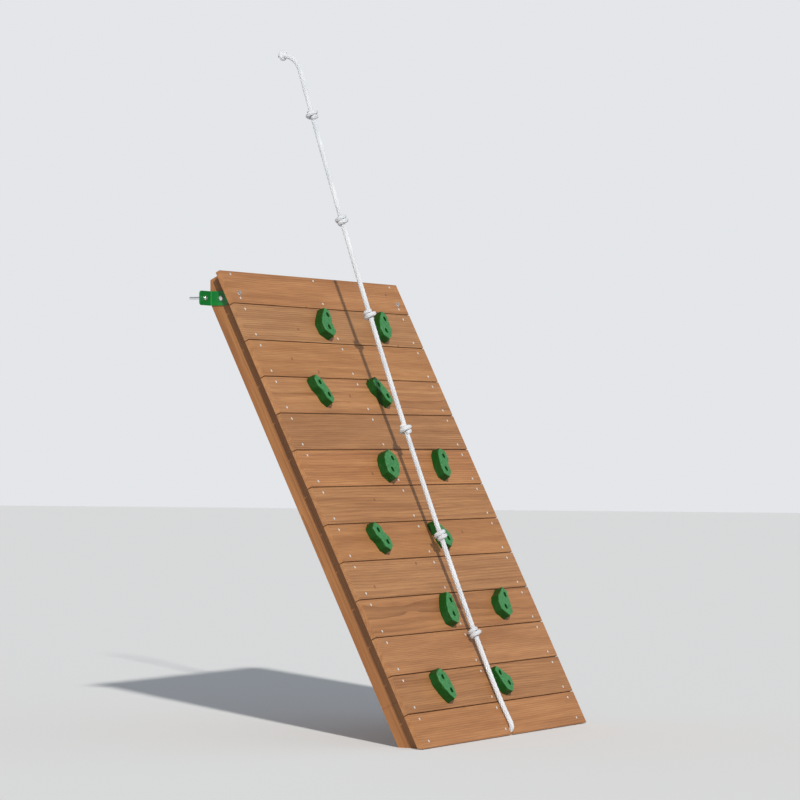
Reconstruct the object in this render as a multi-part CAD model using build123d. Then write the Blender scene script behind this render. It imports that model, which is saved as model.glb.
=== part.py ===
"""Rock climbing wall for a play tower.

Thirteen boards are screwed across three rails that lean against the tower's deck. Twelve
climbing holds are bolted through the boards, two steel angles tie the rail heads to the deck,
and a knotted rope runs from the tower's upper rail down to the foot of the wall.

The origin is on the ground, in the middle of the wall's plan. X runs along the boards, Y runs
from the climber's side to the tower, and Z is up. All sizes are in millimetres.
"""

import math
import os

from build123d import *

# ---- boards -------------------------------------------------------------------------
wall_width = 1320.0
board_count = 13
board_width = 139.7
end_board_width = 127.0          # the top and bottom boards are ripped narrower
board_thickness = 19.05
board_gap = 3.2
board_edge_radius = 2.0
board_foot_clearance = 3.0       # ground to the lowest front edge
lean_angle = 64.0                # from the ground to the climbing face

# ---- rails --------------------------------------------------------------------------
rail_thickness = 38.1
rail_depth = 88.9
board_overhang = 45.0            # board end to the outer face of an outer rail
rail_head_width = 48.0           # top of the rail, from the boards' back to the deck face

# ---- board screws ---------------------------------------------------------------------
screw_edge_distance = 20.0
screw_top_distance = 12.7        # upper screws of the top board, from its top edge
screw_foot_distance = 25.0       # lower screws of the bottom board, from its lower edge
screw_length = 45.0
screw_shank_diameter = 4.2
screw_head_diameter = 9.0
screw_head_height = 3.6
screw_drive_width = 2.8          # square socket
screw_drive_depth = 2.4

# ---- lag bolts through the top board -----------------------------------------------------
top_bolt_drop = 88.0             # below the top edge of the top board
top_bolt_shank_diameter = 7.9
top_bolt_length = 50.0
top_bolt_flange_diameter = 19.0
top_bolt_flange_thickness = 2.0
top_bolt_head_width = 12.7
top_bolt_head_height = 5.5

# ---- deck angles ------------------------------------------------------------------------
bracket_leg = 76.2
bracket_height = 50.8
bracket_thickness = 4.8
bracket_bend_radius = 5.0
bracket_corner_radius = 12.0
bracket_rail_hole = 47.0          # from the outside of the bend to the bolt in the rail
bracket_deck_hole = 42.0          # from the outside of the bend to the screw in the deck
bracket_centre_height = 1550.0
bracket_side_clearance = 0.3     # between an angle and the rail it turns on

# ---- bolts of the deck angles ---------------------------------------------------------------
bolt_diameter = 9.52
bolt_running_clearance = 0.08
bolt_head_diameter = 18.0
bolt_head_height = 6.0
bolt_head_round = 4.0             # radius on the rim of the head
bolt_socket_width = 6.0
bolt_socket_depth = 3.2
washer_diameter = 22.0
washer_thickness = 2.0
nut_width = 14.3
nut_height = 8.3
bolt_end_projection = 4.0        # past the nut
deck_screw_length = 58.0         # from the deck face into the deck
deck_screw_neck_diameter = 10.0  # plain neck inside the angle

# ---- holds ----------------------------------------------------------------------------------
hold_bolt_spacing = 57.0
hold_draft = 8.0                 # degrees, from the base to the top
hold_outline_radius = 9.0
hold_end_share = 0.55            # flat at each end, as a share of the width at the nearer bolt
hold_top_radius = 5.0
hold_recess_diameter = 19.0
hold_floor_height = 12.0         # plastic left under each recess

# A hold's sizes: length, width across the upper bolt, waist, width across the lower bolt,
# sideways lean of the waist, height.
hold_sizes = {
    "pear": (122.0, 60.0, 70.0, 96.0, -6.0, 33.0),
    "drop": (128.0, 64.0, 84.0, 82.0, 2.0, 33.0),
    "bar": (126.0, 62.0, 54.0, 60.0, 4.0, 34.0),
    "disc": (124.0, 90.0, 104.0, 90.0, 0.0, 34.0),
    "bean": (124.0, 78.0, 68.0, 76.0, -6.0, 33.0),
    "peanut": (122.0, 74.0, 60.0, 74.0, 0.0, 32.0),
    "wedge": (120.0, 52.0, 68.0, 84.0, -2.0, 32.0),
    "fan": (122.0, 62.0, 90.0, 100.0, -3.0, 33.0),
    "egg": (126.0, 84.0, 78.0, 66.0, 0.0, 34.0),
}
# Board counted from the top, distance right of the centre line, rise above the middle of the
# board, shape, and turn of the long axis in degrees. A positive turn moves the lower end right.
hold_layout = [
    (2, -78.0, 5.0, "pear", -28.0),
    (2, 362.0, 4.0, "drop", -30.0),
    (4, -328.0, 13.0, "bar", 32.0),
    (4, 115.0, 12.0, "bar", 36.0),
    (6, -60.0, 0.0, "disc", -39.0),
    (6, 360.0, 4.0, "bean", -23.0),
    (8, -358.0, 7.0, "peanut", 35.0),
    (8, 112.0, 9.0, "wedge", 38.0),
    (10, -72.0, 5.0, "drop", -21.0),
    (10, 364.0, 12.0, "fan", -35.0),
    (12, -356.0, 10.0, "egg", 24.0),
    (12, 98.0, 5.0, "wedge", 42.0),
]

# ---- hold bolts ---------------------------------------------------------------------------
hold_bolt_diameter = 7.94
hold_bolt_head_diameter = 13.0
hold_bolt_head_height = 8.0
hold_bolt_socket_width = 6.35
hold_bolt_socket_depth = 4.5
hold_washer_diameter = 17.0
hold_washer_thickness = 1.6
hold_bolt_end_projection = 3.0   # past the back of the board
tee_nut_barrel_diameter = 10.4
tee_nut_barrel_length = 12.0
tee_nut_flange_diameter = 23.0
tee_nut_flange_thickness = 1.6

# ---- rope -----------------------------------------------------------------------------------
rope_diameter = 19.0
rope_edge_radius = 24.0          # where the rope turns over the edge of its hole in the tower's rail
tower_rail_thickness = 38.1
knot_width = 50.0
knot_length = 44.0
stopper_width = 43.0
stopper_length = 34.0
knot_rounding = 0.36             # radius of a knot's ends, as a share of its length
arc_share = 0.45                 # of the shorter run beside a corner, taken by the corner's arc
# Distances of the six knots down the rope from the face of the tower's rail.
knot_distances = [218.0, 630.0, 995.0, 1437.0, 1840.0, 2212.0]
rope_notch_width = 23.0          # in the lower edge of the bottom board
rope_notch_height = 38.0         # above the ground
rope_notch_x = 38.0
# The rope's route: through the tower's rail, down in a shallow sag, in through the notch under
# the bottom board, and up behind it.
rope_points = [
    (-5.0, 476.5, 2470.0),
    (-5.0, 404.5, 2470.0),
    (-6.5, 365.5, 2346.0),
    (-10.0, 291.4, 2112.5),
    (-13.0, 218.8, 1889.0),
    (-14.5, 138.2, 1647.0),
    (-14.5, 54.0, 1401.0),
    (-13.0, -31.8, 1155.7),
    (-9.5, -119.6, 911.0),
    (-4.5, -207.5, 671.6),
    (3.0, -295.6, 437.6),
    (14.0, -372.8, 237.0),
    (23.0, -416.2, 130.5),
    (30.0, -440.9, 73.6),
    (36.0, -460.6, 32.0),
    (37.5, -448.9, 11.8),
    (40.0, -417.0, 9.4),
    (44.0, -395.8, 35.8),
]

# ---- worked out from the sizes above ----------------------------------------------------------
lean = math.radians(lean_angle)
slope_length = 2 * end_board_width + (board_count - 2) * board_width + (board_count - 1) * board_gap
slope_run = slope_length * math.cos(lean)
board_run = board_thickness * math.sin(lean)
deck_from_foot = slope_run + board_run + rail_head_width
plan_depth = deck_from_foot + deck_screw_length
foot_y = -plan_depth / 2
deck_y = foot_y + deck_from_foot
wall_top = board_foot_clearance + slope_length * math.sin(lean)
rail_x = wall_width / 2 - board_overhang - rail_thickness / 2
rail_places = {"left": -rail_x, "centre": 0.0, "right": rail_x}

# The climbing face: origin at its lowest edge, Y up the slope, Z out towards the climber.
face = Plane(
    origin=(0, foot_y, board_foot_clearance),
    x_dir=(1, 0, 0),
    z_dir=(0, -math.sin(lean), math.cos(lean)),
)


def on_face(shape):
    """Move a shape made on the XY plane to the climbing face."""
    return face.location * shape


def board_span(number):
    """Lower and upper edge of a board, up the slope. Board 1 is the top one."""
    from_bottom = board_count - number
    if from_bottom == 0:
        return 0.0, end_board_width
    lower = end_board_width + board_gap + (from_bottom - 1) * (board_width + board_gap)
    width = end_board_width if number == 1 else board_width
    return lower, lower + width


def screw_points(rail):
    """Screw places of one rail on the face: two in every board."""
    x = rail_places[rail]
    points = []
    for number in range(1, board_count + 1):
        lower, upper = board_span(number)
        below = screw_foot_distance if number == board_count else screw_edge_distance
        above = screw_top_distance if number == 1 else screw_edge_distance
        points.append((x, lower + below))
        points.append((x, upper - above))
    return points


def top_bolt_points():
    up = slope_length - top_bolt_drop
    return [(-rail_x, up), (rail_x, up)]


def hold_middle(board, column, rise):
    """The middle of a hold on the face."""
    lower, upper = board_span(board)
    return column, (lower + upper) / 2 + rise


def hold_bolt_points(place, turn):
    """The two bolt places of a hold, from its middle and its turn."""
    column, middle = place
    reach = hold_bolt_spacing / 2
    across = math.sin(math.radians(turn)) * reach
    along = math.cos(math.radians(turn)) * reach
    return [(column - across, middle + along), (column + across, middle - along)]


def all_hold_bolt_points():
    points = []
    for board, column, rise, _, turn in hold_layout:
        points.extend(hold_bolt_points(hold_middle(board, column, rise), turn))
    return points


def rod(diameter, low, high, point=(0.0, 0.0)):
    """A round bar along Z between two heights."""
    bar = Cylinder(diameter / 2, high - low, align=(Align.CENTER, Align.CENTER, Align.MIN))
    return Pos(point[0], point[1], low) * bar


def hexagon(width, low, high):
    """A hexagonal prism along Z, width measured across its flats."""
    outline = RegularPolygon(width / 2, 6, major_radius=False)
    return Pos(0, 0, low) * extrude(outline, high - low)


def screw_body():
    """A countersunk deck screw with its head flush with the face."""
    cone = Cone(
        screw_shank_diameter / 2,
        screw_head_diameter / 2,
        screw_head_height,
        align=(Align.CENTER, Align.CENTER, Align.MAX),
    )
    return cone + rod(screw_shank_diameter, -screw_length, -screw_head_height)


def board_holes(lower, upper):
    """Everything that is cut out of one board, on the face."""
    cuts = []
    margin = board_gap / 2
    for rail in rail_places:
        for point in screw_points(rail):
            if lower < point[1] < upper:
                cuts.append(Pos(point[0], point[1], 0) * screw_body())
    for point in top_bolt_points():
        if lower < point[1] < upper:
            cuts.append(rod(top_bolt_shank_diameter, -board_thickness - margin, margin, point))
    for point in all_hold_bolt_points():
        if lower < point[1] < upper:
            barrel_floor = -board_thickness + tee_nut_barrel_length
            cuts.append(rod(tee_nut_barrel_diameter, -board_thickness - margin, barrel_floor, point))
            cuts.append(rod(hold_bolt_diameter, -board_thickness, margin, point))
    return cuts


def make_board(number):
    lower, upper = board_span(number)
    plank = Box(wall_width, upper - lower, board_thickness, align=(Align.CENTER, Align.MIN, Align.MAX))
    plank = fillet(plank.edges().filter_by(Axis.X), board_edge_radius)
    plank = Pos(0, lower, 0) * plank
    plank = on_face(plank - board_holes(lower, upper))
    if number == board_count:
        plank = split(plank, Plane.XY.offset(board_foot_clearance), keep=Keep.TOP)
        plank -= rope_notch()
    return plank


def rope_notch():
    """A level slot with a round top, open at the lower edge of the bottom board."""
    through = 4 * board_thickness
    radius = rope_notch_width / 2
    straight = rope_notch_height - radius
    slot = Box(rope_notch_width, through, straight, align=(Align.CENTER, Align.CENTER, Align.MIN))
    slot += Pos(0, 0, straight) * Rot(90, 0, 0) * Cylinder(radius, through)
    return Pos(rope_notch_x, foot_y, 0) * slot


def rail_outline():
    """A rail's side view: level foot, plumb head against the deck, square top."""
    slope = Vector(0, math.cos(lean), math.sin(lean))
    inward = Vector(0, math.sin(lean), -math.cos(lean))
    front = Vector(0, foot_y, board_foot_clearance) + inward * board_thickness
    rear = front + inward * rail_depth
    front_foot = front - slope * (front.Z / slope.Z)
    rear_foot = rear - slope * (rear.Z / slope.Z)
    front_top = front + slope * slope_length
    head_top = front_top + inward * ((deck_y - front_top.Y) / inward.Y)
    head_foot = rear + slope * ((deck_y - rear.Y) / slope.Y)
    return Wire.make_polygon([front_foot, front_top, head_top, head_foot, rear_foot], close=True)


def make_rail(name):
    profile = Face(rail_outline())
    bar = extrude(profile, rail_thickness / 2, dir=(1, 0, 0), both=True)
    bar = Pos(rail_places[name], 0, 0) * bar
    cuts = [on_face(Pos(x, up, 0) * screw_body()) for x, up in screw_points(name)]
    if name != "centre":
        for point in top_bolt_points():
            cuts.append(on_face(rod(top_bolt_shank_diameter, -top_bolt_length, 0, point)))
        cuts.append(across_rail(name, rod(bolt_diameter, -2 * rail_thickness, rail_thickness)))
    return bar - cuts


def across_rail(side, shape):
    """Put a shape made along Z on the cross bolt of one rail.

    Its Z = 0 lies on the rail's outer face and its Z points away from the rail.
    """
    outward = -1 if side == "left" else 1
    place = Plane(
        origin=(outward * (rail_x + rail_thickness / 2), deck_y - bracket_rail_hole, bracket_centre_height),
        x_dir=(0, 0, 1),
        z_dir=(outward, 0, 0),
    )
    return place.location * shape


def on_deck_bolt(side, shape):
    """Put a shape made along Z on the deck screw of one angle.

    Its Z = 0 lies on the deck face and its Z points towards the climber.
    """
    outward = -1 if side == "left" else 1
    bend = rail_x + rail_thickness / 2 + bracket_side_clearance
    place = Plane(
        origin=(outward * (bend + bracket_deck_hole), deck_y, bracket_centre_height),
        x_dir=(1, 0, 0),
        z_dir=(0, -1, 0),
    )
    return place.location * shape


def make_bracket(side):
    """A steel angle: one leg on the rail's side, the other on the deck face."""
    outward = -1 if side == "left" else 1
    angle = Polyline(
        (0, 0), (0, -bracket_leg), (bracket_thickness, -bracket_leg),
        (bracket_thickness, -bracket_thickness), (bracket_leg, -bracket_thickness),
        (bracket_leg, 0), (0, 0),
    )
    body = extrude(make_face(angle), bracket_height / 2, both=True)
    inner = body.edges().filter_by(Axis.Z).sort_by_distance((bracket_thickness, -bracket_thickness, 0))[0]
    body = fillet(inner, bracket_bend_radius)
    outer = body.edges().filter_by(Axis.Z).sort_by_distance((0, 0, 0))[0]
    body = fillet(outer, bracket_bend_radius + bracket_thickness)
    rail_end = body.edges().filter_by(Axis.X).group_by(Axis.Y)[0]
    deck_end = body.edges().filter_by(Axis.Y).group_by(Axis.X)[-1]
    body = fillet(rail_end + deck_end, bracket_corner_radius)
    if side == "left":
        body = mirror(body, Plane.YZ)
    bend = rail_x + rail_thickness / 2 + bracket_side_clearance
    body = Pos(outward * bend, deck_y, bracket_centre_height) * body
    pivot_hole = bolt_diameter + 2 * bolt_running_clearance
    cross_cut = across_rail(side, rod(pivot_hole, 0, 2 * bracket_thickness))
    deck_cut = on_deck_bolt(side, rod(deck_screw_neck_diameter, 0, 2 * bracket_thickness))
    return body - [cross_cut, deck_cut]


def round_head(seat):
    """A low round bolt head with a six-sided socket."""
    top = seat + bolt_head_height
    head = rod(bolt_head_diameter, seat, top)
    head = fillet(head.edges().group_by(Axis.Z)[-1], bolt_head_round)
    return head - hexagon(bolt_socket_width, top - bolt_socket_depth, top)


def make_pivot_bolt(side):
    """Round-head bolt through one angle and its rail, with the head outside."""
    head_seat = bracket_thickness + 2 * bracket_side_clearance
    tip = -rail_thickness - washer_thickness - nut_height - bolt_end_projection
    return across_rail(side, round_head(head_seat) + rod(bolt_diameter, tip, head_seat))


def ring(outer, inner, low, high):
    return rod(outer, low, high) - rod(inner, low, high)


def make_pivot_washers():
    """One washer under the nut of each cross bolt."""
    flat = ring(washer_diameter, bolt_diameter, -rail_thickness - washer_thickness, -rail_thickness)
    return Compound(children=[across_rail(side, flat) for side in ("left", "right")])


def make_pivot_nuts():
    seat = -rail_thickness - washer_thickness
    nut = hexagon(nut_width, seat - nut_height, seat) - rod(bolt_diameter, seat - nut_height, seat)
    return Compound(children=[across_rail(side, nut) for side in ("left", "right")])


def make_deck_screw(side):
    """Lag screw that ties one angle to the deck. Its shank goes on into the deck."""
    neck = rod(deck_screw_neck_diameter, 0, bracket_thickness)
    shank = rod(bolt_diameter, -deck_screw_length, 0)
    return on_deck_bolt(side, round_head(bracket_thickness) + neck + shank)


def make_rail_screws(name):
    """The board screws of one rail, each with a square socket in its head."""
    socket_size = (screw_drive_width, screw_drive_width, screw_drive_depth)
    socket = Box(*socket_size, align=(Align.CENTER, Align.CENTER, Align.MAX))
    screw = screw_body() - socket
    return Compound(children=[on_face(Pos(x, up, 0) * screw) for x, up in screw_points(name)])


def make_top_board_bolts():
    """Flanged lag bolts that tie the top board to the outer rails."""
    flange = rod(top_bolt_flange_diameter, 0, top_bolt_flange_thickness)
    top = top_bolt_flange_thickness + top_bolt_head_height
    head = hexagon(top_bolt_head_width, top_bolt_flange_thickness, top)
    bolt = flange + head + rod(top_bolt_shank_diameter, -top_bolt_length, 0)
    return Compound(children=[on_face(Pos(x, up, 0) * bolt) for x, up in top_bolt_points()])


def hold_outline(shape):
    """A hold's base, long axis along Y: five stations on each side."""
    length, head, waist, foot, shift, _ = hold_sizes[shape]
    end = length / 2
    station = hold_bolt_spacing / 2
    head_end = head / 2 * hold_end_share
    foot_end = foot / 2 * hold_end_share
    points = [
        (head_end, end), (-head_end, end), (-head / 2, station),
        (-waist / 2 + shift, 0), (-foot / 2, -station), (-foot_end, -end),
        (foot_end, -end), (foot / 2, -station), (waist / 2 + shift, 0), (head / 2, station),
    ]
    base = make_face(Polyline(*points, close=True))
    return fillet(base.vertices(), hold_outline_radius)


def hold_body(shape):
    """A drafted lump with a rounded top and two bolt recesses."""
    height = hold_sizes[shape][-1]
    body = extrude(hold_outline(shape), height, taper=hold_draft)
    body = fillet(body.edges().group_by(Axis.Z)[-1], hold_top_radius)
    for up in (-hold_bolt_spacing / 2, hold_bolt_spacing / 2):
        body -= rod(hold_recess_diameter, hold_floor_height, height, (0, up))
        body -= rod(hold_bolt_diameter, 0, hold_floor_height, (0, up))
    return body


def make_hold(board, column, rise, shape, turn):
    place = hold_middle(board, column, rise)
    return on_face(Pos(*place, 0) * Rot(0, 0, turn) * hold_body(shape))


def hold_hardware(item):
    """One copy of a piece on every hold bolt."""
    return Compound(children=[on_face(Pos(x, up, 0) * item) for x, up in all_hold_bolt_points()])


def hold_bolt_body():
    seat = hold_floor_height + hold_washer_thickness
    tip = -board_thickness - tee_nut_flange_thickness - hold_bolt_end_projection
    head = rod(hold_bolt_head_diameter, seat, seat + hold_bolt_head_height)
    socket_floor = seat + hold_bolt_head_height - hold_bolt_socket_depth
    head -= hexagon(hold_bolt_socket_width, socket_floor, seat + hold_bolt_head_height)
    return head + rod(hold_bolt_diameter, tip, seat)


def hold_washer_body():
    top = hold_floor_height + hold_washer_thickness
    return ring(hold_washer_diameter, hold_bolt_diameter, hold_floor_height, top)


def tee_nut_body():
    """A tee nut: barrel up inside the board, flange flat on the board's back."""
    back = -board_thickness
    barrel = rod(tee_nut_barrel_diameter, back, back + tee_nut_barrel_length)
    flange = rod(tee_nut_flange_diameter, back - tee_nut_flange_thickness, back)
    bore = rod(hold_bolt_diameter, back - tee_nut_flange_thickness, back + tee_nut_barrel_length)
    return barrel + flange - bore


def rope_path():
    """Straight runs joined by arcs, each as large as its two runs allow."""
    points = [Vector(*point) for point in rope_points]
    radii = []
    for i in range(1, len(points) - 1):
        before = points[i] - points[i - 1]
        after = points[i + 1] - points[i]
        half_turn = math.radians(before.get_angle(after)) / 2
        radii.append(arc_share * min(before.length, after.length) / math.tan(half_turn))
    radii[0] = rope_edge_radius
    print("rope radii", [round(radius, 1) for radius in radii])
    return FilletPolyline(*points, radius=radii)


def make_rope(path):
    section = Plane(origin=path @ 0, z_dir=path % 0) * Circle(rope_diameter / 2)
    tube = sweep(section, path=path)
    ideal = math.pi * (rope_diameter / 2) ** 2 * path.length
    print("rope length", round(path.length, 1), "volume ratio", round(tube.volume / ideal, 5))
    return tube


def knot_body(width, length):
    """A round knot: a barrel with well rounded ends."""
    barrel = Cylinder(width / 2, length)
    return fillet(barrel.edges(), length * knot_rounding)


def make_rope_knots(path, tube):
    """Six knots to climb by, bored to fit the rope that runs through them."""
    start = tower_rail_thickness + stopper_length
    knots = []
    for distance in knot_distances:
        share = (start + distance) / path.length
        place = Plane(origin=path @ share, z_dir=path % share)
        knots.append(place.location * knot_body(knot_width, knot_length) - tube)
    return Compound(children=knots)


def make_stopper(path, tube, end):
    """The knot at one end of the rope, bored for its last straight run."""
    along = path % end
    middle = stopper_length / 2
    origin = path @ end + along * (middle if end == 0 else -middle)
    place = Plane(origin=origin, z_dir=along)
    return place.location * knot_body(stopper_width, stopper_length) - tube


def save(shape, name):
    shape.label = name
    export_step(shape, f"parts/{name}.step")


def main():
    os.makedirs("parts", exist_ok=True)
    for number in range(1, board_count + 1):
        save(make_board(number), f"board_{number:02d}")
    for name in rail_places:
        save(make_rail(name), f"{name}_rail")
        save(make_rail_screws(name), f"{name}_rail_screws")
    save(make_top_board_bolts(), "top_board_bolts")
    for number, place in enumerate(hold_layout, start=1):
        save(make_hold(*place), f"hold_{number:02d}")
    save(hold_hardware(hold_bolt_body()), "hold_bolts")
    save(hold_hardware(hold_washer_body()), "hold_washers")
    save(hold_hardware(tee_nut_body()), "tee_nuts")
    for side in ("left", "right"):
        save(make_bracket(side), f"{side}_bracket")
        save(make_pivot_bolt(side), f"{side}_pivot_bolt")
        save(make_deck_screw(side), f"{side}_deck_screw")
    save(make_pivot_washers(), "pivot_washers")
    save(make_pivot_nuts(), "pivot_nuts")
    path = rope_path()
    tube = make_rope(path)
    save(tube, "rope")
    save(make_rope_knots(path, tube), "rope_knots")
    save(make_stopper(path, tube, 0), "rope_top_stopper")
    save(make_stopper(path, tube, 1), "rope_foot_stopper")


main()
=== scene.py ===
import math

import bmesh
import bpy
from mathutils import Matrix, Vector, noise


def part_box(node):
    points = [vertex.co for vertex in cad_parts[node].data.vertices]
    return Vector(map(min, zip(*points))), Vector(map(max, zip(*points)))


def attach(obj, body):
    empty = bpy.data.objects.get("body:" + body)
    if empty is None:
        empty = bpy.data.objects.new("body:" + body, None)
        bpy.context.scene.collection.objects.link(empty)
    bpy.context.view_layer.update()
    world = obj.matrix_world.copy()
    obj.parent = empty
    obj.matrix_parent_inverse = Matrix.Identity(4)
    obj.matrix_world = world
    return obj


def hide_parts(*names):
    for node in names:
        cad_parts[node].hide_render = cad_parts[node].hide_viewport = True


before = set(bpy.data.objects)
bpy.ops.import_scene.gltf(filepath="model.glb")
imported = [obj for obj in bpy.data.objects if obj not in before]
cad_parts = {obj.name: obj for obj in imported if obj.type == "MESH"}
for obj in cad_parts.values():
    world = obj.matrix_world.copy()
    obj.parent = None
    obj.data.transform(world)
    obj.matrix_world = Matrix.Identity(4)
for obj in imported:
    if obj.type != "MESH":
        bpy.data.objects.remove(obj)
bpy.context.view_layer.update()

# ---- Boards -----------------------------------------------------------------------------
# Thirteen planed softwood boards, screwed across the rails. Their edges are eased, and a thin
# cedar-coloured stain lets the grain show as fine streaks. Each comes from another part of a
# log, so some run straight and a few make long loops.

lean = math.radians(64)              # of the climbing face, from the ground
slope_up = Vector((0, math.cos(lean), math.sin(lean)))
face_out = Vector((0, -math.sin(lean), math.cos(lean)))


def linear(colour):
    """sRGB hex to linear RGBA."""
    channels = []
    for i in (1, 3, 5):
        c = int(colour[i:i + 2], 16) / 255
        channels.append(c / 12.92 if c <= 0.04045 else ((c + 0.055) / 1.055) ** 2.4)
    return (*channels, 1.0)


def add(tree, kind, settings=None, **inputs):
    """Add a node with its settings, and set or link its inputs.

    An input is named, with _ for a space, or numbered, as i0. A (node, output) pair is linked,
    and anything else is the socket's own value. The setting stops fills a colour ramp.
    """
    node = tree.nodes.new(kind)
    for key, value in (settings or {}).items():
        if key != "stops":
            setattr(node, key, value)
            continue
        elements = node.color_ramp.elements
        while len(elements) < len(value):
            elements.new(0.5)
        for element, (position, colour) in zip(elements, value):
            element.position = position
            element.color = linear(colour)
    for key, value in inputs.items():
        numbered = key[0] == "i" and key[1:].isdigit()
        socket = node.inputs[int(key[1:])] if numbered else node.inputs[key.replace("_", " ")]
        if isinstance(value, tuple) and isinstance(value[0], bpy.types.Node):
            tree.links.new(value[0].outputs[value[1]], socket)
        else:
            socket.default_value = value
    return node


def new_material(name):
    material = bpy.data.materials.new(name)
    material.use_nodes = True
    material.node_tree.nodes.clear()
    return material, material.node_tree


def stained_softwood(name, turn, pith, ring, wander, light, dark):
    """Planed softwood under a thin stain, with rings round a pith that runs along the piece.

    turn brings the piece's length to X and its face to Z. pith is a point on the middle of the
    log, ring the width of a growth ring and wander how far the rings stray, all in metres.
    """
    material, tree = new_material(name)
    place = add(tree, "ShaderNodeTexCoord")
    grain = add(tree, "ShaderNodeMapping", Vector=(place, "Object"), Rotation=turn,
                Location=(pith[0], -pith[1], -pith[2]))
    # The trunk bends slowly: one swing in each metre along it.
    slow = add(tree, "ShaderNodeMapping", Vector=(grain, "Vector"), Scale=(1.2, 4.0, 4.0))
    bends = add(tree, "ShaderNodeTexNoise", Vector=(slow, "Vector"), Scale=1.0, Detail=2.0, Roughness=0.5)
    centred = add(tree, "ShaderNodeVectorMath", {"operation": "SUBTRACT"}, i0=(bends, "Color"),
                  i1=(0.5, 0.5, 0.5))
    swing = add(tree, "ShaderNodeVectorMath", {"operation": "SCALE"}, i0=(centred, "Vector"), Scale=wander)
    bent = add(tree, "ShaderNodeVectorMath", {"operation": "ADD"}, i0=(grain, "Vector"), i1=(swing, "Vector"))
    drawn = add(tree, "ShaderNodeMapping", Vector=(bent, "Vector"), Scale=(0.05, 1.0, 1.0))
    rings = add(tree, "ShaderNodeTexWave",
                {"wave_type": "RINGS", "rings_direction": "X", "wave_profile": "SAW"},
                Vector=(drawn, "Vector"), Scale=2 * math.pi / 20 / ring, Distortion=1.0, Detail=2.0,
                Detail_Scale=1.4)
    # Late wood: the dark end of each ring, which fades back into the pale early wood.
    late = add(tree, "ShaderNodeValToRGB",
               {"stops": ((0.0, "#000000"), (0.45, "#2e2e2e"), (0.86, "#c8c8c8"), (1.0, "#ffffff"))},
               Fac=(rings, "Fac"))
    # Rings are clear in some stretches and faint in others.
    stretch = add(tree, "ShaderNodeMapping", Vector=(grain, "Vector"), Scale=(1.6, 22.0, 22.0))
    clear = add(tree, "ShaderNodeTexNoise", Vector=(stretch, "Vector"), Scale=1.0, Detail=2.0, Roughness=0.5)
    strength = add(tree, "ShaderNodeMapRange", Value=(clear, "Fac"), From_Min=0.3, From_Max=0.7, To_Min=0.3,
                   To_Max=0.9)
    shown = add(tree, "ShaderNodeMath", {"operation": "MULTIPLY"}, i0=(late, "Color"),
                i1=(strength, "Result"))
    ringed = add(tree, "ShaderNodeMixRGB", Fac=(shown, "Value"), Color1=linear(light), Color2=linear(dark))
    # Fibres: 1.5 mm wide and about a hand long.
    thread = add(tree, "ShaderNodeMapping", Vector=(grain, "Vector"), Scale=(9.0, 1000 / 1.5, 1000 / 1.5))
    fibres = add(tree, "ShaderNodeTexNoise", Vector=(thread, "Vector"), Scale=1.0, Detail=3.0, Roughness=0.6)
    streak = add(tree, "ShaderNodeValToRGB", {"stops": ((0.25, "#bdb3aa"), (0.7, "#ffffff"))},
                 Fac=(fibres, "Fac"))
    lined = add(tree, "ShaderNodeMixRGB", {"blend_type": "MULTIPLY"}, Fac=0.8, Color1=(ringed, "Color"),
                Color2=(streak, "Color"))
    # Bands 20 mm wide that took more or less stain.
    band = add(tree, "ShaderNodeMapping", Vector=(grain, "Vector"), Scale=(1.8, 1000 / 20, 1000 / 20))
    bands = add(tree, "ShaderNodeTexNoise", Vector=(band, "Vector"), Scale=1.0, Detail=2.0, Roughness=0.5)
    tone = add(tree, "ShaderNodeValToRGB", {"stops": ((0.28, "#d6c8ba"), (0.72, "#ffffff"))},
               Fac=(bands, "Fac"))
    stained = add(tree, "ShaderNodeMixRGB", {"blend_type": "MULTIPLY"}, Fac=0.85, Color1=(lined, "Color"),
                  Color2=(tone, "Color"))
    # Pin knots: red-brown spots up to 12 mm across, about one to a board.
    cells = add(tree, "ShaderNodeTexVoronoi", {"voronoi_dimensions": "2D"}, Vector=(grain, "Vector"),
                Scale=2.6)
    core = add(tree, "ShaderNodeMapRange", {"interpolation_type": "SMOOTHSTEP"}, Value=(cells, "Distance"),
               From_Min=0.008, From_Max=0.022, To_Min=0.8, To_Max=0.0)
    knotted = add(tree, "ShaderNodeMixRGB", Fac=(core, "Result"), Color1=(stained, "Color"),
                  Color2=linear("#6f4022"))
    sheen = add(tree, "ShaderNodeMapRange", Value=(fibres, "Fac"), To_Min=0.52, To_Max=0.72)
    relief = add(tree, "ShaderNodeMath", {"operation": "MULTIPLY_ADD"}, i0=(rings, "Fac"), i1=0.5,
                 i2=(fibres, "Fac"))
    bump = add(tree, "ShaderNodeBump", Height=(relief, "Value"), Strength=0.5, Distance=0.0005)
    shader = add(tree, "ShaderNodeBsdfPrincipled", Base_Color=(knotted, "Color"), Roughness=(sheen, "Result"),
                 Normal=(bump, "Normal"), IOR=1.5)
    add(tree, "ShaderNodeOutputMaterial", Surface=(shader, "BSDF"))
    return material


def finish_with(node, material):
    """Give a CAD part its material."""
    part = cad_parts[node]
    part.data.materials.clear()
    part.data.materials.append(material)


along_board = (-lean, 0.0, 0.0)
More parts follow.
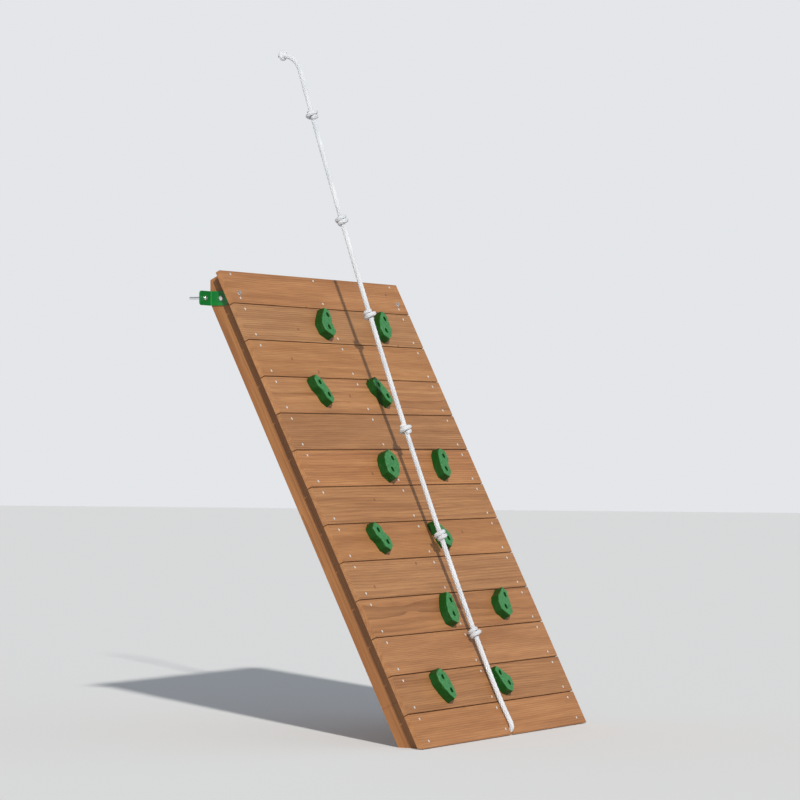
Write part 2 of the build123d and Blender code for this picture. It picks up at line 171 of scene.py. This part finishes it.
# For each board from the top, in millimetres: the pith's distance up the slope and behind the
# face from the board's middle, the ring width and the wander. Then the stain's two tones.
board_grain = [
    (115, 60, 6.0, 14, "#b78354", "#84562e"),
    (-130, 70, 7.0, 20, "#b5875b", "#875c37"),
    (140, 45, 6.0, 12, "#b98655", "#8a5b33"),
    (-25, 110, 8.0, 22, "#b88658", "#8a5d36"),
    (-105, 50, 6.5, 10, "#ae7e52", "#7e5430"),
    (95, 75, 7.5, 26, "#ba8454", "#83552f"),
    (-120, 120, 8.5, 34, "#b28153", "#885a33"),
    (150, 40, 5.5, 8, "#b78352", "#86562e"),
    (-90, 85, 7.5, 18, "#b48457", "#865a34"),
    (30, 130, 9.0, 24, "#b17e50", "#7e522b"),
    (-140, 55, 6.0, 12, "#b88557", "#885a33"),
    (110, 75, 7.0, 20, "#b07f52", "#80542f"),
    (-100, 60, 6.5, 14, "#b88353", "#865830"),
]
log_apart = 1.37             # along the log, from one board's wood to the next's
for number, (up, behind, ring, wander, light, dark) in enumerate(board_grain, start=1):
    node = f"board_{number:02d}"
    low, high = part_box(node)
    middle = (Vector(low) + Vector(high)) / 2
    pith = (log_apart * number, middle.dot(slope_up) + up / 1000, middle.dot(face_out) - behind / 1000)
    wood = stained_softwood(f"stained_softwood_{node}", along_board, pith, ring / 1000, wander / 1000,
                            light, dark)
    finish_with(node, wood)

# ---- Rails ------------------------------------------------------------------------------
# Three straight studs of the same stained softwood, on edge under the boards, sawn level at
# the foot and plumb at the head. Their narrow faces show closer, straighter rings.

along_rail = (-lean, 0.0, -math.pi / 2)
stud_apart = 2.11            # along the log, from one rail's wood to the next's
rail_wander = 0.012
# The pith's distance to the side of the rail and behind its middle, and the ring width, in mm.
rail_grain = {"left_rail": (70, 60, 5.5), "centre_rail": (-60, 80, 6.0), "right_rail": (-75, 70, 5.0)}
for number, (node, (side, behind, ring)) in enumerate(rail_grain.items(), start=1):
    low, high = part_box(node)
    middle = (Vector(low) + Vector(high)) / 2
    pith = (stud_apart * number, side / 1000 - middle.x, middle.dot(face_out) - behind / 1000)
    wood = stained_softwood(f"stained_softwood_{node}", along_rail, pith, ring / 1000, rail_wander,
                            "#a4703f", "#754a26")
    finish_with(node, wood)

# ---- Screws, tee nuts, washers and nuts ----------------------------------------------------
# Zinc-plated steel. Plating gives it a pale, slightly blue grey with soft cloudy patches and
# a fine tumbled texture, duller than the polished bolts.


def steel(name, pale, dull, rough, grit_mm, metal=1.0):
    """Steel with a thin finish: cloudy tone and a fine grit, its size in millimetres."""
    material, tree = new_material(name)
    place = add(tree, "ShaderNodeTexCoord")
    # Clouds in the plating are about 11 mm across.
    cloud = add(tree, "ShaderNodeTexNoise", Vector=(place, "Object"), Scale=1000 / 11, Detail=3.0,
                Roughness=0.6)
    grit = add(tree, "ShaderNodeTexNoise", Vector=(place, "Object"), Scale=1000 / grit_mm, Detail=2.0,
               Roughness=0.5)
    tone = add(tree, "ShaderNodeMixRGB", Fac=(cloud, "Fac"), Color1=linear(pale), Color2=linear(dull))
    gloss = add(tree, "ShaderNodeMapRange", Value=(cloud, "Fac"), To_Min=rough - 0.07, To_Max=rough + 0.09)
    bump = add(tree, "ShaderNodeBump", Height=(grit, "Fac"), Strength=0.3, Distance=0.0001)
    shader = add(tree, "ShaderNodeBsdfPrincipled", Base_Color=(tone, "Color"), Roughness=(gloss, "Result"),
                 Normal=(bump, "Normal"), Metallic=metal)
    add(tree, "ShaderNodeOutputMaterial", Surface=(shader, "BSDF"))
    return material


zinc = steel("zinc_plated_steel", "#d9dbdc", "#b4b8bb", 0.42, 0.5)
for node in ("hold_washers", "tee_nuts", "pivot_washers", "pivot_nuts"):
    finish_with(node, zinc)
# The board screws are hot-dip galvanised, and their zinc has weathered to a pale chalky skin.
chalky = steel("weathered_galvanised_steel", "#dddfde", "#c6cac9", 0.6, 0.5, metal=0.35)
for node in ("left_rail_screws", "centre_rail_screws", "right_rail_screws"):
    finish_with(node, chalky)

# ---- Bolts of the angles and of the top board ------------------------------------------------
# Bright nickel-plated heads, smooth enough to catch the light as small white spots.

nickel = steel("bright_nickel_plated_steel", "#f1f2f2", "#dcdedf", 0.24, 0.8)
for node in ("top_board_bolts", "left_pivot_bolt", "right_pivot_bolt", "left_deck_screw", "right_deck_screw"):
    finish_with(node, nickel)

# ---- Socket bolts of the holds -----------------------------------------------------------------
# Black-oxide steel: nearly black with a brown cast, oiled.

oxide = steel("black_oxide_steel", "#3a3c3b", "#202221", 0.38, 0.4)
finish_with("hold_bolts", oxide)

# ---- Deck angles ---------------------------------------------------------------------------------
# Folded steel plate with a glossy green powder coat, whose surface has the shallow waves of
# orange peel, a few millimetres across.

coat, tree = new_material("green_powder_coat")
place = add(tree, "ShaderNodeTexCoord")
peel = add(tree, "ShaderNodeTexNoise", Vector=(place, "Object"), Scale=1000 / 3, Detail=2.0, Roughness=0.45)
wash = add(tree, "ShaderNodeTexNoise", Vector=(place, "Object"), Scale=1000 / 33, Detail=2.0, Roughness=0.5)
green = add(tree, "ShaderNodeMixRGB", Fac=(wash, "Fac"), Color1=linear("#0d742f"), Color2=linear("#095e25"))
bump = add(tree, "ShaderNodeBump", Height=(peel, "Fac"), Strength=0.25, Distance=0.0004)
shader = add(tree, "ShaderNodeBsdfPrincipled", Base_Color=(green, "Color"), Roughness=0.32,
             Normal=(bump, "Normal"), IOR=1.5)
add(tree, "ShaderNodeOutputMaterial", Surface=(shader, "BSDF"))
for node in ("left_bracket", "right_bracket"):
    finish_with(node, coat)

# ---- Holds ---------------------------------------------------------------------------------------
# Twelve cast grips of green polyurethane. They come out of a rock-textured mould, so the top is broad
# while the sides are chipped into shallow facets, and the whole skin has a fine sandy grit. The sides
# are painted a deeper green than the top, as painted shade.

cast, tree = new_material("cast_polyurethane_green")
place = add(tree, "ShaderNodeTexCoord")
# Sand grains show at 1.6 mm, coarser than they are, and pits at 9 mm.
sand = add(tree, "ShaderNodeTexNoise", Vector=(place, "Object"), Scale=1000 / 1.6, Detail=3.0, Roughness=0.65)
pits = add(tree, "ShaderNodeTexNoise", Vector=(place, "Object"), Scale=1000 / 9, Detail=3.0, Roughness=0.6)
shades = add(tree, "ShaderNodeValToRGB", {"stops": ((0.3, "#2c6c38"), (0.7, "#458a54"))}, Fac=(pits, "Fac"))
dust = add(tree, "ShaderNodeValToRGB", {"stops": ((0.35, "#c4cec4"), (0.65, "#ffffff"))}, Fac=(sand, "Fac"))
sanded = add(tree, "ShaderNodeMixRGB", {"blend_type": "MULTIPLY"}, Fac=0.6, Color1=(shades, "Color"),
             Color2=(dust, "Color"))
# Painted shade: the sides, which turn away from the climbing face, are painted a deep dark green, and the top
# keeps the sanded green.
facing = add(tree, "ShaderNodeVectorMath", {"operation": "DOT_PRODUCT"}, i0=(place, "Normal"),
             i1=tuple(face_out))
painted_side_shade_mask = add(tree, "ShaderNodeMapRange", Value=(facing, "Value"), From_Min=0.25, From_Max=0.85)
tone = add(tree, "ShaderNodeMixRGB", Fac=(painted_side_shade_mask, "Result"), Color1=linear("#063d08"), Color2=(sanded, "Color"))
gloss = add(tree, "ShaderNodeMapRange", Value=(sand, "Fac"), To_Min=0.36, To_Max=0.56)
relief = add(tree, "ShaderNodeMath", {"operation": "MULTIPLY_ADD"}, i0=(pits, "Fac"), i1=1.6,
             i2=(sand, "Fac"))
bump = add(tree, "ShaderNodeBump", Height=(relief, "Value"), Strength=0.55, Distance=0.0006)
shader = add(tree, "ShaderNodeBsdfPrincipled", Base_Color=(tone, "Color"), Roughness=(gloss, "Result"),
             Normal=(bump, "Normal"), IOR=1.5, Specular_IOR_Level=0.25)
add(tree, "ShaderNodeOutputMaterial", Surface=(shader, "BSDF"))

# The hold bolts tell where the chips have to stop, so that the recesses stay round. Each bolt
# is one connected piece of the mesh.
bolt_lines = []
bolts = bmesh.new()
bolts.from_mesh(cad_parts["hold_bolts"].data)
bmesh.ops.remove_doubles(bolts, verts=bolts.verts, dist=1e-6)
bolts.verts.ensure_lookup_table()
while bolts.verts:
    one_bolt = {bolts.verts[0]}
    newest = list(one_bolt)
    while newest:
        newest = {e.other_vert(v) for v in newest for e in v.link_edges} - one_bolt
        one_bolt |= newest
    bolt_lines.append(sum((v.co for v in one_bolt), Vector()) / len(one_bolt))
    bmesh.ops.delete(bolts, geom=list(one_bolt), context="VERTS")
    bolts.verts.ensure_lookup_table()
bolts.free()

hold_count = 12
hold_reach = 0.07            # from a hold's middle to its farther bolt, at most
hold_voxel = 0.0017          # of the even mesh that is carved
chip_width = 0.026
chip_depth = 0.0042
chip_tilt = 0.55             # these three are shares of chip_depth
dent_depth = 0.16
chip_sink = 0.12
dent_width = 0.011           # of the small dents between the chips
pattern_shift = 3.1          # in chips, from one hold's pattern to the next's
tilt_step = 7.3              # keeps the tilts of two neighbouring chips unlike
tilt_shifts = (0.0, 31.7, 67.3)  # far apart, one for each part of a chip's tilt
recess_rim = 0.0105          # from the bolt line, kept round
rim_fade = 0.006             # over which the chips set in
smooth_passes = 3
base_trim = 0.0004
for number in range(1, hold_count + 1):
    node = f"hold_{number:02d}"
    blank = bmesh.new()
    blank.from_mesh(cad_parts[node].data)
    bmesh.ops.remove_doubles(blank, verts=blank.verts, dist=1e-6)
    mesh = bpy.data.meshes.new(f"{node}_cast")
    blank.to_mesh(mesh)
    blank.free()
    hold = bpy.data.objects.new(f"{node}_cast", mesh)
    bpy.context.scene.collection.objects.link(hold)
    even = hold.modifiers.new("even", "REMESH")
    even.mode = "VOXEL"
    even.voxel_size = hold_voxel
    hold.data = bpy.data.meshes.new_from_object(hold.evaluated_get(bpy.context.evaluated_depsgraph_get()))
    hold.modifiers.clear()
    shell = bmesh.new()
    shell.from_mesh(hold.data)
    shell.normal_update()
    low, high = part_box(node)
    middle = (Vector(low) + Vector(high)) / 2
    near = [line for line in bolt_lines if (line - middle).length < hold_reach]
    base = min(v.co.dot(face_out) for v in shell.verts)
    carved = []
    for v in shell.verts:
        height = v.co.dot(face_out) - base
        to_bolts = [v.co - line for line in near]
        away = min((gap - face_out * gap.dot(face_out)).length for gap in to_bolts)
        share = min(1.0, max(0.0, (away - recess_rim) / rim_fade)) * min(1.0, height / rim_fade)
        # Each cell of the pattern is one flat chip, tilted its own way.
        spot = v.co / chip_width + Vector((number * pattern_shift, 0, 0))
        cell = noise.voronoi(spot)[1][0]
        tilt = Vector([noise.noise(cell * tilt_step + Vector((shift, 0, 0))) for shift in tilt_shifts])
        lift = (spot - cell).dot(tilt) * chip_tilt + noise.noise(v.co / dent_width) * dent_depth - chip_sink
        carved.append(v.co + v.normal * share * chip_depth * lift)
    for v, spot in zip(shell.verts, carved):
        v.co = spot
    for _ in range(smooth_passes):
        bmesh.ops.smooth_vert(shell, verts=shell.verts, factor=0.5, use_axis_x=True, use_axis_y=True,
                              use_axis_z=True)
    # Saw the base flat and close it down to the board.
    bmesh.ops.bisect_plane(shell, geom=shell.verts[:] + shell.edges[:] + shell.faces[:],
                           plane_co=face_out * (base + base_trim), plane_no=face_out, clear_inner=True)
    bmesh.ops.translate(shell, verts=shell.verts, vec=-face_out * base_trim)
    rim = [e for e in shell.edges if e.is_boundary]
    skirt = bmesh.ops.extrude_edge_only(shell, edges=rim)
    for v in [item for item in skirt["geom"] if isinstance(item, bmesh.types.BMVert)]:
        v.co -= face_out * (v.co.dot(face_out) - base)
    for polygon in shell.faces:
        polygon.smooth = True
    shell.to_mesh(hold.data)
    shell.free()
    hold.data.materials.clear()
    hold.data.materials.append(cast)
    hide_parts(node)
    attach(hold, "wall")

# ---- Rope ----------------------------------------------------------------------------------------
# White polyester rope, 19 mm thick, its strands braided over a core into small diamonds. It is
# threaded through the tower's upper rail, pulled down along the wall and led through the notch
# under the bottom board.

rope_diameter = 0.019
braid_cell = 0.009             # length of one diamond
strand_share = 0.13            # a strand's radius, of the rope's thickness
wave_share = 0.42              # how far a strand rises and dips, of its radius
ways = 6                       # strands that run each way
rope_points = [
    (-0.005, 0.4765, 2.470),
    (-0.005, 0.4045, 2.470),
    (-0.0065, 0.3655, 2.346),
    (-0.010, 0.2914, 2.1125),
    (-0.013, 0.2188, 1.889),
    (-0.0145, 0.1382, 1.647),
    (-0.0145, 0.0540, 1.401),
    (-0.013, -0.0318, 1.1557),
    (-0.0095, -0.1196, 0.911),
    (-0.0045, -0.2075, 0.6716),
    (0.003, -0.2956, 0.4376),
    (0.014, -0.3728, 0.237),
    (0.023, -0.4162, 0.1305),
    (0.030, -0.4409, 0.0736),
    (0.036, -0.4606, 0.032),
    (0.0375, -0.4489, 0.0118),
    (0.040, -0.4170, 0.0094),
    (0.044, -0.3958, 0.0358),
]


def drawn_curve(curve):
    """The mesh of a curve, made without leaving an object behind."""
    holder = bpy.data.objects.new(curve.name, curve)
    bpy.context.scene.collection.objects.link(holder)
    mesh = bpy.data.meshes.new_from_object(holder.evaluated_get(bpy.context.evaluated_depsgraph_get()))
    bpy.data.objects.remove(holder)
    return mesh


def evenly(points, step):
    """Points at an even spacing along a line."""
    reach = [0.0]
    for a, b in zip(points, points[1:]):
        reach.append(reach[-1] + (b - a).length)
    count = max(2, round(reach[-1] / step))
    out = []
    i = 0
    for k in range(count + 1):
        at = reach[-1] * k / count
        while i < len(reach) - 2 and reach[i + 1] < at:
            i += 1
        share = (at - reach[i]) / max(1e-9, reach[i + 1] - reach[i])
        out.append(points[i].lerp(points[i + 1], share))
    return out


def braid(name, line, diameter):
    """Strands braided over a core, half of them each way, that pass over and under each other."""
    strand = diameter * strand_share
    wave = strand * wave_share
    middle = diameter / 2 - strand - wave
    curve = bpy.data.curves.new(name, "CURVE")
    curve.dimensions = "3D"
    curve.bevel_depth = strand
    curve.bevel_resolution = 1
    curve.use_fill_caps = True
    across = Vector((1, 0, 0))
    travelled = 0.0
    stations = []
    for i, point in enumerate(line):
        before = line[max(i - 1, 0)]
        after = line[min(i + 1, len(line) - 1)]
        tangent = (after - before).normalized()
        across = (across - tangent * across.dot(tangent)).normalized()
        travelled += (point - before).length
        stations.append((point, across.copy(), tangent.cross(across), travelled))
    for k in range(2 * ways):
        way = 1 if k < ways else -1
        spline = curve.splines.new("POLY")
        spline.points.add(len(stations) - 1)
        for target, (point, x_axis, y_axis, reach) in zip(spline.points, stations):
            angle = 2 * math.pi * (k / ways + way * reach / (2 * ways * braid_cell))
            out = middle + way * wave * math.cos(math.pi * reach / braid_cell)
            spread = x_axis * math.cos(angle) + y_axis * math.sin(angle)
            target.co = (*(point + spread * out), 1)
    core = curve.splines.new("POLY")
    core.points.add(len(stations) - 1)
    for target, (point, _, _, _) in zip(core.points, stations):
        target.co = (*point, 1)
        target.radius = middle / strand
    mesh = drawn_curve(curve)
    mesh.name = name
    for polygon in mesh.polygons:
        polygon.use_smooth = True
    braided = bpy.data.objects.new(name, mesh)
    bpy.context.scene.collection.objects.link(braided)
    return braided


fibre, tree = new_material("white_braided_polyester")
place = add(tree, "ShaderNodeTexCoord")
# Yarns are 2.4 mm thick, and handling has greyed the rope in patches a hand long.
yarn = add(tree, "ShaderNodeTexNoise", Vector=(place, "Object"), Scale=1000 / 2.4, Detail=3.0, Roughness=0.6)
soil = add(tree, "ShaderNodeTexNoise", Vector=(place, "Object"), Scale=1000 / 70, Detail=3.0, Roughness=0.55)
white = add(tree, "ShaderNodeValToRGB", {"stops": ((0.3, "#bcc0c6"), (0.7, "#ced1d5"))}, Fac=(soil, "Fac"))
fuzz = add(tree, "ShaderNodeValToRGB", {"stops": ((0.3, "#c6cacf"), (0.6, "#ffffff"))}, Fac=(yarn, "Fac"))
tone = add(tree, "ShaderNodeMixRGB", {"blend_type": "MULTIPLY"}, Fac=0.5, Color1=(white, "Color"),
           Color2=(fuzz, "Color"))
bump = add(tree, "ShaderNodeBump", Height=(yarn, "Fac"), Strength=0.5, Distance=0.0005)
shader = add(tree, "ShaderNodeBsdfPrincipled", Base_Color=(tone, "Color"), Roughness=0.8,
             Normal=(bump, "Normal"), IOR=1.5, Sheen_Weight=0.15, Sheen_Roughness=0.5)
add(tree, "ShaderNodeOutputMaterial", Surface=(shader, "BSDF"))

path_step = 0.003
route_curve = bpy.data.curves.new("rope_route", "CURVE")
route_curve.dimensions = "3D"
route = route_curve.splines.new("NURBS")
route.points.add(len(rope_points) - 1)
for target, point in zip(route.points, rope_points):
    target.co = (*point, 1)
route.order_u = 3
route.use_endpoint_u = True
route.resolution_u = 48
rope_path = evenly([v.co.copy() for v in drawn_curve(route_curve).vertices], path_step)

rope = braid("climbing_rope", rope_path, rope_diameter)
rope.data.materials.append(fibre)
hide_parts("rope")
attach(rope, "wall")

# ---- Knots of the rope -----------------------------------------------------------------------------
# Overhand knots drawn tight, six to climb by and one at each end. Each shows as a round ball:
# the rope's own turns wrapped close round the standing part.

knot_size = (0.051, 0.045)           # across and along the rope
wraps = 1.8                          # round the standing part
pulled_diameter = rope_diameter * 0.9  # of the rope in a knot, pulled thinner
knot_steps = 96
knot_distances = [0.218, 0.630, 0.995, 1.437, 1.840, 2.212]
knot_turn = 1.9                      # radians from one knot's start to the next's, round the rope
stopper_size = (0.042, 0.034)
stopper_turn = 0.7
rail_thickness = 0.0381              # of the tower's rail, which the rope passes through
rope_reach = [0.0]
for a, b in zip(rope_path, rope_path[1:]):
    rope_reach.append(rope_reach[-1] + (b - a).length)


def tie_knot(name, node, distance, size, turn):
    """A tight knot at a distance along the rope, starting at an angle round it."""
    i = min(range(1, len(rope_path) - 1), key=lambda j: abs(rope_reach[j] - distance))
    middle = rope_path[i]
    direction = (rope_path[i + 1] - rope_path[i - 1]).normalized()
    side = direction.orthogonal().normalized()
    other = direction.cross(side)
    wide = (size[0] - pulled_diameter) / 2
    tall = size[1] - pulled_diameter
    loop = []
    for k in range(knot_steps + 1):
        share = k / knot_steps
        angle = turn + 2 * math.pi * wraps * share
        # Both ends dive under the wraps, back to the standing part.
        out = wide * math.sin(math.pi * share) ** 0.3
        spot = side * math.cos(angle) * out + other * math.sin(angle) * out
        loop.append(middle + spot + direction * tall * (share - 0.5))
    knot = braid(name, loop, pulled_diameter)
    knot.data.materials.append(fibre)
    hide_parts(node)
    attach(knot, "wall")
    return knot


for number, distance in enumerate(knot_distances, start=1):
    along = stopper_size[1] + rail_thickness + distance
    tie_knot(f"rope_knot_{number}", "rope_knots", along, knot_size, knot_turn * number)
half_stopper = stopper_size[1] / 2
tie_knot("top_stopper_knot", "rope_top_stopper", half_stopper, stopper_size,
                      stopper_turn)
foot = rope_reach[-1] - half_stopper
tie_knot("foot_stopper_knot", "rope_foot_stopper", foot, stopper_size, stopper_turn)

# ---- Floor, light and camera -----------------------------------------------------------------------
# A pale floor, one warm key light from the climber's left, and a room with bright walls under a
# dimmer ceiling.

floor_mesh = bmesh.new()
bmesh.ops.create_grid(floor_mesh, x_segments=1, y_segments=1, size=40)
floor_data = bpy.data.meshes.new("floor")
floor_mesh.to_mesh(floor_data)
floor_mesh.free()
floor = bpy.data.objects.new("floor", floor_data)
bpy.context.scene.collection.objects.link(floor)
matt, tree = new_material("pale_matt_floor")
shader = add(tree, "ShaderNodeBsdfPrincipled", Base_Color=linear("#e1e2e3"), Roughness=0.95)
add(tree, "ShaderNodeOutputMaterial", Surface=(shader, "BSDF"))
floor.data.materials.append(matt)

world = bpy.data.worlds.new("room")
world.use_nodes = True
bpy.context.scene.world = world
tree = world.node_tree
tree.nodes.clear()
place = add(tree, "ShaderNodeTexCoord")
height = add(tree, "ShaderNodeSeparateXYZ", Vector=(place, "Generated"))
# The walls end about 10 degrees up and the ceiling begins at about 30.
walls = add(tree, "ShaderNodeValToRGB", {"stops": ((0.17, "#e4e6e9"), (0.5, "#8b9198"))}, Fac=(height, "Z"))
glow = add(tree, "ShaderNodeBackground", Color=(walls, "Color"), Strength=1.0)
add(tree, "ShaderNodeOutputWorld", Surface=(glow, "Background"))

sun = bpy.data.lights.new("key", "SUN")
sun.energy = 3.9
sun.angle = math.radians(2)
sun.color = (1.0, 0.96, 0.90)
key = bpy.data.objects.new("key", sun)
key.rotation_mode = "QUATERNION"
key.rotation_quaternion = Vector((0.674, 0.567, -0.473)).to_track_quat("-Z", "Y")
bpy.context.scene.collection.objects.link(key)

eye = Vector((-11.375, -6.020, 1.03))
look_at = Vector((-0.14, -0.10, 1.195))
lens = bpy.data.cameras.new("camera")
lens.lens = 160
lens.clip_end = 200
camera = bpy.data.objects.new("camera", lens)
camera.location = eye
camera.rotation_mode = "QUATERNION"
camera.rotation_quaternion = (look_at - eye).to_track_quat("-Z", "Y")
bpy.context.scene.collection.objects.link(camera)
bpy.context.scene.camera = camera
bpy.context.scene.view_settings.view_transform = "Standard"
